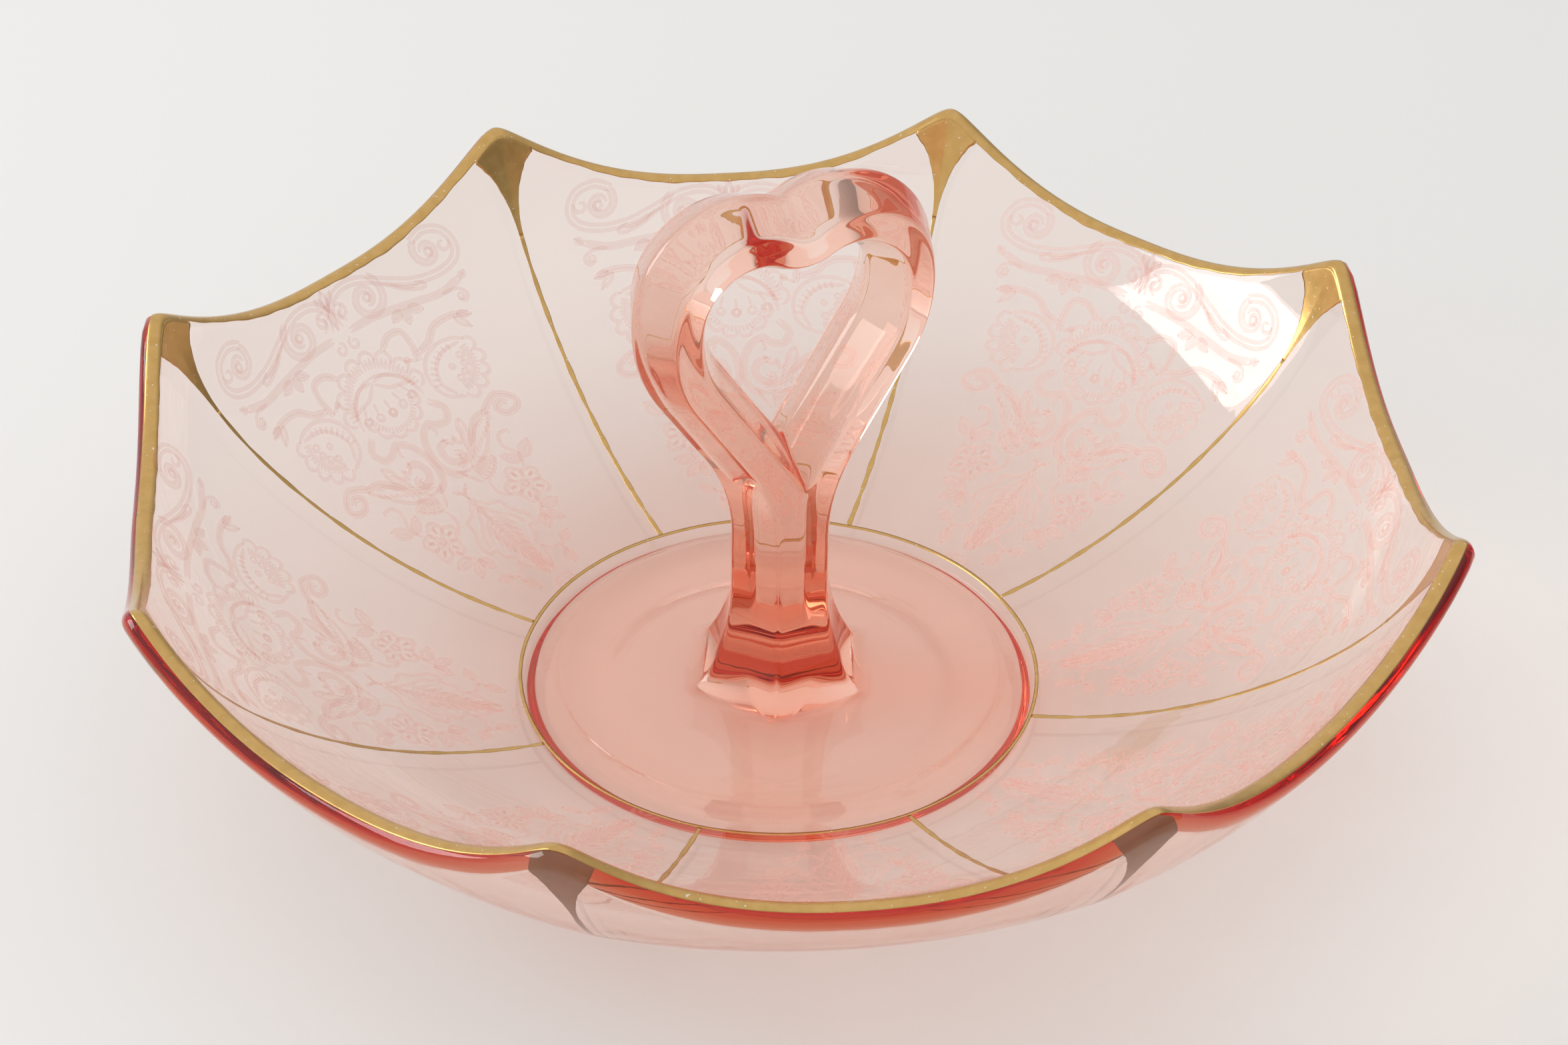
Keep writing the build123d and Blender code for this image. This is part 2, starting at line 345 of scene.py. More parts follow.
def loop_rings(crotch, corner_half, ridge_half):
    """Closed rings of the loop from the crotch to the dip between the lobes, right half only."""
    rings = []
    slide = (RIDGE_REACH - FACE_REACH) / math.tan(LEG_LEAN)
    for along in np.linspace(crotch, leg_length, 44):
        middle = leg_foot + leg_along * along
        edge = middle + leg_out * FACE_REACH
        ridge = middle + leg_out * RIDGE_REACH
        edge[0] = outer_edge(edge[1], FACE_REACH, corner_half)
        ridge[0] = outer_edge(ridge[1], RIDGE_REACH, ridge_half)
        caught_up = min(1, (along - crotch) / 22)
        eased = caught_up * caught_up * (3 - 2 * caught_up)
        inner = middle - leg_out * RIDGE_REACH + leg_along * slide * (1 - eased)
        rings.append(ring_points(middle - leg_out * FACE_REACH, edge, ridge, inner))
    for centre, radius, start, end, steps in (
            (side_centre, SIDE_RADIUS, -LEG_LEAN, SIDE_START, 22),
            (LOBE, LOBE_RADIUS, SIDE_START, math.pi - notch_angle, 36),
            (np.array((0, LOBE[1] + notch_rise)), -NOTCH_RADIUS, math.pi - notch_angle, math.pi / 2, 10)):
        for angle in np.linspace(start, end, steps + 1)[1:]:
            out = np.array((math.cos(angle), math.sin(angle)))
            rings.append(ring_points(*(centre + out * (radius + reach)
                                       for reach in (-FACE_REACH, FACE_REACH, RIDGE_REACH, -RIDGE_REACH))))
    return rings


def handle_parts():
    """Points and faces of the right half of the handle above the straight neck."""
    neck = list(spread_profile(12))[-1][1]
    stem, crotch, corner_half, ridge_half = stem_rings(neck)
    loop = loop_rings(crotch, corner_half, ridge_half)
    stem = [soften(ring, EDGE_SOFTENING, closed=False) for ring in stem]
    first, rest = loop[0], [soften(ring, EDGE_SOFTENING, closed=True) for ring in loop[1:]]
    first[:OUTER + 1] = stem[-1]
    rest[-1][:, 0] = 0
    return stem, [first] + rest


def glass_mesh(material):
    """The whole pressing as one watertight mesh."""
    rows = bowl_rows()
    points = np.concatenate(rows)
    faces = grid_faces(len(rows), COLUMNS, flip=True)
    centre = len(points)
    last = centre - COLUMNS
    points = np.concatenate((points, [(0, 0, rows[-1][0, 2])]))
    faces += [(last + (k + 1) % COLUMNS, last + k, centre) for k in range(COLUMNS)]
    stem, loop = handle_parts()
    quarter = COLUMNS // 4
    for mirror in (False, True):
        flip_x = np.array((-1, 1, 1)) if mirror else np.ones(3)
        start = len(points)
        open_row, closed_row = OUTER + 1, OUTER + INNER
        points = np.concatenate([points] + [ring * flip_x for ring in stem] 
                                + [ring * flip_x for ring in loop[1:]])
        loop_start = start + len(stem) * open_row
        faces += grid_faces(len(stem), open_row, start, closed=False, flip=mirror)
        inner_start = len(points)
        points = np.concatenate((points, loop[0][open_row:] * flip_x))
        last_stem = start + (len(stem) - 1) * open_row
        ring0 = list(range(last_stem, last_stem + open_row)) + list(range(inner_start,
                                                                          inner_start + INNER - 1))
        ring1 = list(range(loop_start, loop_start + closed_row))
        for k in range(closed_row):
            n = (k + 1) % closed_row
            quad = (ring0[k], ring0[n], ring1[n], ring1[k])
            faces.append(quad[::-1] if mirror else quad)
        faces += grid_faces(len(loop) - 1, closed_row, loop_start, flip=mirror)
        for k in range(OUTER):
            low = [(-quarter + k + step) % COLUMNS for step in (0, 1)]
            if mirror:
                low = [(-quarter - k - step) % COLUMNS for step in (0, 1)]
            quad = (low[0], low[1], start + k + 1, start + k)
            faces.append(quad[::-1] if mirror else quad)
    made = mesh_object("pressed_glass", points, faces, material)
    weld(made, WELD_DISTANCE)
    return made


def weld(made, distance):
    """Joins points closer than this many millimetres and makes the normals face out."""
    work = bmesh.new()
    work.from_mesh(made.data)
    bmesh.ops.remove_doubles(work, verts=work.verts, dist=distance * MM)
    bmesh.ops.recalc_face_normals(work, faces=work.faces)
    open_edges = sum(1 for edge in work.edges if not edge.is_manifold)
    print("open edges of", made.name, open_edges)
    work.to_mesh(made.data)
    work.free()


# ---------------------------------------------------------------- materials
GLASS_TINT = (0.955, 0.31, 0.04, 1)
GLASS_DENSITY = 31.0      # each colour is absorbed at (1 - tint) times this per metre
TRAPPED_DEPTH = 7.5       # past this many bounces light counts as trapped in the glass
# painted glow: the glass gives off this fixed colour in place of light trapped in it, though it is no lamp
TRAPPED_LIGHT = (0.60, 0.52, 0.45, 1)


def material_of(name):
    """A new node material with its Principled shader."""
    made = bpy.data.materials.new(name)
    made.use_nodes = True
    nodes = made.node_tree.nodes
    return made, nodes, made.node_tree.links, nodes["Principled BSDF"]


def noise_of(nodes, links, scale, detail=2.0):
    """The value of a noise fixed to the object."""
    place = nodes.new("ShaderNodeTexCoord")
    noise = nodes.new("ShaderNodeTexNoise")
    noise.inputs["Scale"].default_value = scale
    noise.inputs["Detail"].default_value = detail
    links.new(place.outputs["Object"], noise.inputs["Vector"])
    return noise.outputs["Fac"]


def glass_material():
    """Pink glass, tinted in its depth. Lamps shine straight through; where light is trapped, the glass glows
    a fixed painted colour instead.
    """
    made, nodes, links, shader = material_of("pink_pressed_glass")
    output = nodes["Material Output"]
    shader.inputs["Base Color"].default_value = (1.0, 0.995, 0.99, 1)
    shader.inputs["Roughness"].default_value = 0.015
    shader.inputs["IOR"].default_value = 1.5
    shader.inputs["Transmission Weight"].default_value = 1.0
    bump = nodes.new("ShaderNodeBump")
    bump.inputs["Strength"].default_value = 0.05
    bump.inputs["Distance"].default_value = 0.001
    links.new(noise_of(nodes, links, 90.0), bump.inputs["Height"])
    links.new(bump.outputs["Normal"], shader.inputs["Normal"])
    absorb = nodes.new("ShaderNodeVolumeAbsorption")
    absorb.inputs["Color"].default_value = GLASS_TINT
    absorb.inputs["Density"].default_value = GLASS_DENSITY
    links.new(absorb.outputs["Volume"], output.inputs["Volume"])
    path = nodes.new("ShaderNodeLightPath")
    clear = nodes.new("ShaderNodeBsdfTransparent")
    clear.inputs["Color"].default_value = (0.995, 0.99, 0.985, 1)
    mix = nodes.new("ShaderNodeMixShader")
    links.new(path.outputs["Is Shadow Ray"], mix.inputs["Fac"])
    links.new(shader.outputs["BSDF"], mix.inputs[1])
    links.new(clear.outputs["BSDF"], mix.inputs[2])
    deep = nodes.new("ShaderNodeMath")
    deep.operation = "GREATER_THAN"
    deep.inputs[1].default_value = TRAPPED_DEPTH
    # painted glow that stands in for light trapped in the glass
    glow = nodes.new("ShaderNodeEmission")
    glow.inputs["Color"].default_value = TRAPPED_LIGHT
    glow.inputs["Strength"].default_value = 1.0
    trapped = nodes.new("ShaderNodeMixShader")
    links.new(path.outputs["Ray Depth"], deep.inputs[0])
    links.new(deep.outputs["Value"], trapped.inputs["Fac"])
    links.new(mix.outputs["Shader"], trapped.inputs[1])
    links.new(glow.outputs["Emission"], trapped.inputs[2])
    links.new(trapped.outputs["Shader"], output.inputs["Surface"])
    return made


def gold_back_material():
    """The underside of the fired gold, seen through the glass: dull, brown and unpolished."""
    made, nodes, links, shader = material_of("gold_seen_through_glass")
    tint = nodes.new("ShaderNodeValToRGB")
    tint.color_ramp.elements[0].color = (0.30, 0.13, 0.05, 1)
    tint.color_ramp.elements[1].color = (0.46, 0.22, 0.09, 1)
    links.new(noise_of(nodes, links, 260.0, 5.0), tint.inputs["Fac"])
    links.new(tint.outputs["Color"], shader.inputs["Base Color"])
    shader.inputs["Roughness"].default_value = 0.7
    return made


def gold_material():
    """The burnished face of the gold, with a fine grain and a few worn specks."""
    made, nodes, links, shader = material_of("fired_gold")
    grain = noise_of(nodes, links, 420.0, 6.0)
    ramp = nodes.new("ShaderNodeValToRGB")
    ramp.color_ramp.elements[0].position = 0.3
    ramp.color_ramp.elements[0].color = (0.55, 0.34, 0.115, 1)
    ramp.color_ramp.elements[1].position = 0.7
    ramp.color_ramp.elements[1].color = (0.63, 0.40, 0.15, 1)
    links.new(grain, ramp.inputs["Fac"])
    worn = nodes.new("ShaderNodeMapRange")
    worn.inputs["From Min"].default_value = 0.735
    worn.inputs["From Max"].default_value = 0.76
    links.new(noise_of(nodes, links, 1500.0, 1.0), worn.inputs["Value"])
    bare = nodes.new("ShaderNodeMix")
    bare.data_type = "RGBA"
    bare.inputs["B"].default_value = (0.78, 0.70, 0.62, 1)
    links.new(worn.outputs["Result"], bare.inputs["Factor"])
    links.new(ramp.outputs["Color"], bare.inputs["A"])
    links.new(bare.outputs["Result"], shader.inputs["Base Color"])
    shader.inputs["Metallic"].default_value = 1.0
    burnish = nodes.new("ShaderNodeMapRange")
    burnish.inputs["To Min"].default_value = 0.16
    burnish.inputs["To Max"].default_value = 0.28
    links.new(grain, burnish.inputs["Value"])
    links.new(burnish.outputs["Result"], shader.inputs["Roughness"])
    return made


def etched_material():
    """Frosted strokes: a thin veil that scatters light, broken up by a fine grain."""
    made, nodes, links, shader = material_of("acid_etching")
    tint = nodes.new("ShaderNodeValToRGB")
    tint.color_ramp.elements[0].color = (0.80, 0.37, 0.31, 1)
    tint.color_ramp.elements[1].color = (0.92, 0.49, 0.42, 1)
    links.new(noise_of(nodes, links, 900.0), tint.inputs["Fac"])
    links.new(tint.outputs["Color"], shader.inputs["Base Color"])
    shader.inputs["Roughness"].default_value = 0.9
    shader.inputs["Specular IOR Level"].default_value = 0.1
    shader.inputs["Alpha"].default_value = 0.10
    return made


def backdrop_material():
    made, _, _, shader = material_of("pale_floor")
    shader.inputs["Base Color"].default_value = (0.80, 0.795, 0.785, 1)
    shader.inputs["Roughness"].default_value = 0.55
    return made


# ---------------------------------------------------------------- gold film
FILM_BACK = -0.05         # the fired film bites into the glass by this much
FILM_FACE = 0.06          # and stands this far above it


def rim_point(angle, azimuth, lift):
    """Point on the rounded rim: angle 0 is the inside face and pi the outside face."""
    slope = rim_slope(azimuth)
    radius, height = wall_point(slope, WALL / 2, azimuth)
    size = WALL / 2 + lift
    inward, upward = size * np.cos(angle), size * np.sin(angle)
    return polar(radius - inward * np.sin(slope) + upward * np.cos(slope),
                 height + inward * np.cos(slope) + upward * np.sin(slope), azimuth)


def inside_point(radius, azimuth, lift):
    """Point over the bowl's inside face at this distance from the axis."""
    slope = slope_at_radius(radius, 0, azimuth)
    return polar(*wall_point(slope, -lift, azimuth), azimuth)


def film_sheet(name, node, low, high, material, closed=False):
    """A thin closed film from two grids of points, its back and its front."""
    rows, columns = low.shape[:2]
    count = rows * columns
    points = np.concatenate((low.reshape(-1, 3), high.reshape(-1, 3)))
    faces = grid_faces(rows, columns, 0, closed, flip=True) + grid_faces(rows, columns, count, closed)
    for row, flip in ((0, False), (rows - 1, True)):
        for column in range(columns if closed else columns - 1):
            a = row * columns + column
            b = row * columns + (column + 1) % columns
            quad = (a, b, b + count, a + count)
            faces.append(quad[::-1] if flip else quad)
    if not closed:
        for column, flip in ((0, True), (columns - 1, False)):
            for row in range(rows - 1):
                a, b = row * columns + column, (row + 1) * columns + column
                quad = (a, b, b + count, a + count)
                faces.append(quad[::-1] if flip else quad)
    made = mesh_object(name, points, faces, material[0])
    made.data.materials.append(material[1])
    backs = (rows - 1) * (columns if closed else columns - 1)
    made.data.polygons.foreach_set("material_index", [1] * backs + [0] * (len(faces) - backs))
    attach(made, "root")
    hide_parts(node)
    return made


BAND_EDGES = (math.radians(14), math.radians(92))   # the band's edges, round the rim from its inside face


def rim_film(material):
    around = np.arange(COLUMNS * 4) * TAU / (COLUMNS * 4)

    def sheet(lift):
        wander = 0.05 * np.sin(23 * around) + 0.04 * np.sin(57 * around + 1) + 0.03 * np.sin(131 * around + 2)
        return np.stack([rim_point(angle + wander * (1 - share), around, lift)
                         for share, angle in zip(np.linspace(0, 1, 15), np.linspace(*BAND_EDGES, 15))])
    return film_sheet("rim_gold", "rim_gilding", sheet(FILM_BACK), sheet(FILM_FACE), material, closed=True)


RING_LINE = 49.1          # radius of the ring line
RING_HALF = 0.35          # half its width
FAN_START = 112.5         # radius at which a rib line opens into its fan


def stroke_film(name, node, radii, half_widths, turn, material, across=7):
    """A gold stroke along a rib, of the given half-width at each radius."""
    def sheet(lift):
        rows = []
        for radius, half in zip(radii, half_widths):
            side = np.linspace(-half, half, across)
            azimuth = turn + np.arctan2(side, radius)
            rows.append(inside_point(np.hypot(radius, side), azimuth, lift))
        return np.stack(rows)
    return film_sheet(name, node, sheet(FILM_BACK), sheet(FILM_FACE), material)


def gold_films(material):
    rim_film(material)
    around = np.arange(COLUMNS * 2) * TAU / (COLUMNS * 2)
    film_sheet("ring_line_gold", "centre_ring_line",
               np.stack([inside_point(RING_LINE + side, around, FILM_BACK) for side in (-RING_HALF, 0,
                                                                                        RING_HALF)]),
               np.stack([inside_point(RING_LINE + side, around, FILM_FACE) for side in (-RING_HALF, 0,
                                                                                        RING_HALF)]),
               material, closed=True)
    for number in range(1, PANELS + 1):
        turn = (number - 1) * 2 * HALF_TURN
        radii = np.linspace(RING_LINE + RING_HALF, FAN_START, 120)
        uneven = 0.07 * np.sin(radii / 2.1 + number) + 0.06 * np.sin(radii / 0.83 + 2 * number)
        stroke_film(f"rib_gold_{number}", f"rib_line_{number}", radii, 0.42 + uneven, turn, material)
        fan_film(number, turn, material)


FAN_HALF = 6.6            # half the width of a fan where it meets the rim's gold
FAN_POWER = 1.9           # how hollow its sides are


def fan_film(number, turn, material):
    """The gold fan inside a tip: hollow sides that open from the rib line to the rim's gold."""
    foot = slope_at_radius(FAN_START, 0, turn)

    def sheet(lift):
        rows = []
        for share in np.linspace(0, 1, 40):
            wander = 0.09 * math.sin(17 * share + number) + 0.05 * math.sin(41 * share + 3 * number)
            half = 0.45 + (FAN_HALF - 0.45) * share ** FAN_POWER
            side = np.linspace(-half - wander * share, half - wander * share, 25)
            azimuth = turn + np.arctan2(side, FAN_START + 12 * share)
            slope = foot + (rim_slope(azimuth) - foot) * share
            rows.append(polar(*wall_point(slope, -lift, azimuth), azimuth))
        for angle in np.linspace(0, BAND_EDGES[0] + 0.06, 4)[1:]:
            rows.append(rim_point(angle, azimuth, lift))
        return np.stack(rows)
    return film_sheet(f"fan_gold_{number}", f"corner_gilding_{number}",
                      sheet(FILM_BACK), sheet(FILM_FACE), material)


# ---------------------------------------------------------------- the etched design
# It is drawn flat, in millimetres: across from a panel's middle, and up along the wall from the floor.
# Only the right half is drawn; every stroke is mirrored.
STROKE = 0.88             # width of an etched line
BAND = 0.62               # half the width of a scroll drawn as two lines


def smooth_curve(*knots, step=0.7):
    """A smooth line through a few knots."""
    knots = np.array(knots, float)
    ends = (2 * knots[0] - knots[1], 2 * knots[-1] - knots[-2])
    padded = np.concatenate((ends[0][None], knots, ends[1][None]))
    line = [knots[0][None]]
    for k in range(len(knots) - 1):
        a, b, c, d = padded[k:k + 4]
        count = max(2, int(np.linalg.norm(c - b) / step) + 1)
        t = np.linspace(0, 1, count + 1)[1:, None]
        line.append(0.5 * (2 * b + (c - a) * t + (2 * a - 5 * b + 4 * c - d) * t ** 2
                           + (3 * b - a - 3 * c + d) * t ** 3))
    return np.concatenate(line)


def spiral(centre, outer, inner, start, turns, step=0.7):
    """A curl that winds in from the outer to the inner radius; turns below zero wind clockwise."""
    count = max(8, int(abs(turns) * math.pi * (outer + inner) / step))
    share = np.linspace(0, 1, count)
    angle = math.radians(start) + turns * TAU * share
    radius = outer + (inner - outer) * share ** 0.8
    return np.stack((centre[0] + radius * np.cos(angle), centre[1] + radius * np.sin(angle)), axis=-1)


def dot(centre, size):
    """A small closed round."""
    return spiral(centre, size, size, 90, 1.05, step=0.35)


def beside(line, distance):
    """A line that runs beside another."""
    along = np.gradient(line, axis=0)
    along /= np.linalg.norm(along, axis=1, keepdims=True) + 1e-9
    return line + distance * np.stack((-along[:, 1], along[:, 0]), axis=-1)


def leaf(root, tip, width, veined=True):
    """A pointed leaf: two bowed sides and a midrib."""
    root, tip = np.array(root, float), np.array(tip, float)
    share = np.linspace(0, 1, 9)[:, None]
    across = np.array((root[1] - tip[1], tip[0] - root[0]))
    across /= np.linalg.norm(across)
    bow = np.sin(math.pi * share ** 0.85) * width / 2
    middle = root + (tip - root) * share
    sides = [middle + across * bow, middle - across * bow]
    return sides + ([middle[1:-2]] if veined else [])


def hatching(centre, inner, outer, start, end, count):
    """Short lines that point away from a centre."""
    lines = []
    for angle in np.radians(np.linspace(start, end, count)):
        out = np.array((math.cos(angle), math.sin(angle)))
        lines.append(np.array(centre) + np.linspace(inner, outer, 5)[:, None] * out)
    return lines


def scalloped(centre, radius, start, end, lobes, bulge, squash=1.0):
    """An outline of rounded lobes round a centre."""
    share = np.linspace(0, 1, lobes * 9 + 1)
    angle = np.radians(start + (end - start) * share)
    reach = radius + bulge * np.abs(np.sin(math.pi * lobes * share)) ** 0.6
    return np.stack((centre[0] + reach * np.cos(angle), centre[1] + reach * np.sin(angle) * squash), axis=-1)


def scroll_border():
    """Two S-scrolls and the sloping bars beneath the rim."""
    s_band = smooth_curve((0.8, 87.6), (0.2, 90.4), (1.6, 93.3), (5.2, 94.8), (10.0, 94.3), (15.5, 91.8),
                          (21.0, 89.6), (27.0, 88.9), (32.0, 90.2), (34.0, 93.2), (32.6, 96.8),
                          (28.6, 98.2), (24.8, 96.9))
    lines = [beside(s_band, BAND), beside(s_band, -BAND)]
    near = spiral((9.6, 90.3), 4.9, 0.9, 62, -1.45)
    far = spiral((27.4, 94.0), 3.5, 0.8, 120, 1.15)
    lines += [beside(near, BAND * 0.8), beside(near, -BAND * 0.8), beside(far, BAND * 0.8),
              beside(far, -BAND * 0.8)]
    lines += [dot((9.9, 90.5), 0.8), dot((27.9, 93.6), 0.8), spiral((31.6, 94.0), 1.6, 0.7, 20, -0.9)]
    lines += [spiral((2.6, 90.6), 1.9, 0.6, 120, -1.0), smooth_curve((3.3, 88.4), (1.9, 89.9), (3.4, 91.8))]
    lines += [smooth_curve((14.6, 91.6), (18.5, 88.8), (22.6, 87.3), (23.8, 87.9), (21.8, 89.2)),
              smooth_curve((16.4, 90.6), (19.5, 88.8), (22.4, 88.2))]
    bar = smooth_curve((2.4, 86.4), (8.0, 86.4), (14.0, 85.9), (20.0, 85.3), (26.0, 84.9), (31.6, 86.4))
    lines += [beside(bar, BAND * 0.7), beside(bar, -BAND * 0.7), spiral((1.9, 83.9), 1.6, 0.5, 100, 1.1),
              smooth_curve((26.0, 84.6), (29.6, 84.6), (31.3, 83.0), (30.2, 81.6), (28.7, 82.3)),
              dot((29.7, 82.9), 0.6)]
    lines += leaf((15.6, 85.2), (12.4, 83.4), 1.5) + leaf((16.4, 85.0), (15.8, 81.6), 1.7)
    lines += leaf((17.2, 84.9), (20.6, 83.4), 1.6) + leaf((31.4, 86.2), (33.4, 87.6), 1.0)
    return lines


def finial():
    """Three small leaves between the scrolls."""
    return (leaf((0, 91.6), (0, 96.3), 1.5, False) + leaf((0.3, 92.8), (2.3, 95.3), 1.1, False)
            + [smooth_curve((0.9, 90.4), (0.4, 92.2), (0.3, 93.4))])


def crown_blossom():
    """The large middle blossom: a bell under a frill of petals."""
    core = (0, 70.2)
    lines = [scalloped(core, 9.4, 90, -4, 4, 1.9), scalloped(core, 6.6, -2, -90, 3, 1.1)]
    lines += [spiral((0, 67.2), 8.9, 8.9, 90, -0.235),
              smooth_curve((0.2, 75.2), (3.4, 75.4), (6.6, 73.6), (8.6, 70.6)),
              smooth_curve((0.2, 74.8), (3.0, 72.6), (6.0, 72.0), (8.2, 71.4))]
    lines += hatching(core, 7.6, 9.9, 86, 4, 15) + hatching(core, 5.2, 6.6, -8, -86, 11)
    for across, up in ((0.0, 68.0), (3.3, 68.4), (6.4, 69.0)):
        lines += [dot((across, up), 0.75), np.linspace((across, up + 0.9), (across * 0.8, up + 3.1), 4)]
    return lines


def side_blossom():
    """A blossom that hangs beside the large one, seen from its side."""
    core = (17.6, 71.2)
    lines = [scalloped(core, 7.2, -92, 28, 5, 1.7),
             smooth_curve((17.2, 63.2), (13.0, 65.4), (11.9, 69.6), (13.6, 73.4),
                                                                (17.6, 75.6), (21.6, 75.7), (24.6, 74.6))]
    lines += [smooth_curve((15.4, 64.6), (13.8, 68.0), (15.4, 71.6), (18.6, 73.8), (23.2, 74.3))]
    lines += hatching(core, 4.9, 7.0, -84, 18, 15) + hatching((20.6, 66.2), 7.2, 8.8, 168, 92, 9)
    for angle in (-76, -48, -20, 8):
        turn = math.radians(angle)
        lines.append(dot((core[0] + 4.0 * math.cos(turn), core[1] + 4.0 * math.sin(turn)), 0.65))
    lines += [dot((18.4, 70.3), 0.55)]
    return lines


def elbow_stalks():
    """The bent stalks over the blossoms, with forked buds."""
    stalk = smooth_curve((6.6, 79.6), (9.4, 81.6), (12.6, 81.4), (13.4, 78.6), (12.8, 74.2))
    arm = smooth_curve((13.6, 75.8), (17.0, 76.8), (20.4, 79.4), (25.0, 79.9), (29.0, 79.1))
    return ([beside(stalk, BAND * 0.6), beside(stalk, -BAND * 0.6), beside(arm, BAND * 0.6),
             beside(arm, -BAND * 0.6)]
            + leaf((25.4, 79.4), (28.0, 76.0), 1.2, False) + leaf((26.4, 79.7), (29.6, 78.6), 1.0, False)
            + [smooth_curve((9.8, 75.6), (11.4, 75.0), (12.6, 74.4)), dot((10.4, 75.6), 0.5)])


def tendril():
    """From the large blossom down round the curl of the acanthus."""
    line = smooth_curve((8.4, 66.2), (10.7, 63.6), (9.4, 61.0), (6.9, 61.0), (4.8, 62.2), (2.2, 60.4),
                        (0.7, 57.2),
                        (0.5, 53.4), (1.8, 50.4), (4.4, 49.2))
    return [beside(line, 0.42), beside(line, -0.42), smooth_curve((4.6, 61.6), (5.4, 60.0), (4.9, 59.2))]


def acanthus():
    """A leaf that curls up beside the tendril, with a hatched fan under it."""
    curl = smooth_curve((5.6, 57.6), (3.4, 57.0), (2.4, 54.4), (3.6, 52.2), (6.2, 51.6), (7.0, 53.6),
                        (5.6, 54.6))
    blade = smooth_curve((18.4, 58.4), (14.6, 57.8), (11.6, 55.0), (8.4, 52.0), (4.0, 50.6))
    under = smooth_curve((18.4, 58.4), (15.6, 55.4), (13.0, 52.4), (9.6, 50.2), (4.4, 49.6), (2.4, 50.6))
    lines = [curl, beside(curl, 0.9), blade, under, beside(blade, -0.8)]
    lines += [smooth_curve((6.4, 57.2), (5.0, 57.8), (6.6, 56.0), (7.6, 57.2), (8.0, 55.2), (9.4, 56.6)),
              smooth_curve((9.4, 56.6), (10.0, 58.4), (11.6, 60.0), (11.6, 57.4), (9.6, 53.6))]
    lines += [smooth_curve((8.2, 53.2), (9.4, 55.8), (10.8, 58.2)),
              smooth_curve((10.4, 54.0), (13.2, 56.6), (16.2, 57.6))]
    for share in np.linspace(0.12, 0.88, 9):
        top = np.array((18.0, 57.6)) + (np.array((5.4, 50.4)) - (18.0, 57.6)) * share
        lines.append(np.linspace(top + (0.2, -0.1), top + (-0.7, -1.3 - share * 0.5), 4))
    lines += [scalloped((5.6, 53.0), 6.5, -84, -28, 6, 0.9),
              smooth_curve((3.0, 50.0), (4.0, 48.2), (5.6, 45.8))]
    lines += hatching((5.6, 53.0), 3.9, 6.5, -84, -32, 9)
    return lines


def square_curl():
    """The angular curl at the tip of the acanthus."""
    line = smooth_curve((17.2, 58.6), (20.0, 60.4), (22.6, 61.2), (25.4, 59.0), (24.6, 57.0), (22.0, 56.4),
                        (20.4, 58.0), (22.0, 59.4), (23.4, 58.6), step=0.6)
    return [beside(line, 0.38), beside(line, -0.38)]


def small_flower():
    """A five-petalled flower on a stalk, with leaves above and below."""
    heart = (12.8, 41.0)
    lines = [dot(heart, 1.0), dot(heart, 0.5)]
    for angle in (100, 28, -44, -116, -188):
        turn = math.radians(angle)
        out = np.array((math.cos(turn), math.sin(turn)))
        centre = np.array(heart) + out * 2.9
        lines.append(scalloped(centre, 1.35, angle - 160, angle + 160, 3, 0.45))
        lines += hatching(centre, -0.9, 0.9, angle - 22, angle + 22, 3)
    lines += [smooth_curve((6.6, 45.2), (6.4, 42.2), (8.6, 39.8)),
              smooth_curve((15.6, 44.6), (16.8, 47.4), (15.4, 50.4),
                                                                              (16.4, 53.0), (18.8, 53.2),
                           (18.6, 52.4))]
    lines += leaf((16.4, 45.8), (13.0, 48.8), 1.9) + leaf((17.0, 46.2), (21.0, 49.8), 2.2)
    lines += [smooth_curve((12.4, 38.0), (11.4, 35.4), (9.8, 33.0), (9.4, 31.4))]
    lines += leaf((11.2, 34.6), (15.6, 35.0), 2.2) + leaf((9.8, 33.4), (8.4, 29.6),
                                                          2.0) + leaf((10.4, 33.4), (13.2, 30.0), 2.0)
    return lines


def pointed_leaf():
    """The long leaf on the axis."""
    rim = smooth_curve((0.0, 44.6), (2.2, 41.6), (4.9, 40.4), (5.4, 38.0), (7.2, 34.8), (6.9, 32.6),
                       (5.4, 32.4),
                       (4.9, 30.0), (3.4, 28.8), (3.2, 26.2), (1.8, 23.4), (0.15, 20.8))
    lines = [rim, smooth_curve((0.3, 42.0), (2.6, 38.4), (4.6, 36.2), (5.6, 33.4)),
             np.linspace((0.28, 43.6), (0.2, 23.0), 24)]
    for share in np.linspace(0, 1, 7):
        foot = 38.5 - 13.5 * share
        reach = 4.4 - 3.0 * share
        lines.append(smooth_curve((0.5, foot), (reach * 0.45, foot - 1.2),
                                  (reach * 0.85, foot - 4.2 + share)))
        lines.append(smooth_curve((0.5, foot - 0.9), (reach * 0.4, foot - 2.4),
                                  (reach * 0.62, foot - 5.0 + share)))
    lines += [smooth_curve((0.0, 44.4), (0.4, 46.2), (2.0, 47.6)),
              smooth_curve((0.3, 45.8), (0.9, 46.6), (1.6, 46.6))]
    return lines


def low_sprigs():
    """Leaflets beside the long leaf's tip, and the little arch under it."""
    lines = [smooth_curve((3.6, 27.6), (4.6, 25.6), (7.2, 25.2), (8.2, 26.4)),
             smooth_curve((6.6, 25.2), (6.8, 23.8), (6.4, 22.8))]
    lines += leaf((7.8, 25.8), (11.0, 27.4), 1.7) + leaf((6.6, 23.8), (5.4, 19.8), 1.8)
    lines += [smooth_curve((0.2, 19.2), (1.6, 18.9), (2.6, 17.0)),
              smooth_curve((0.2, 18.2), (1.0, 17.6), (1.2, 16.4))]
    return lines


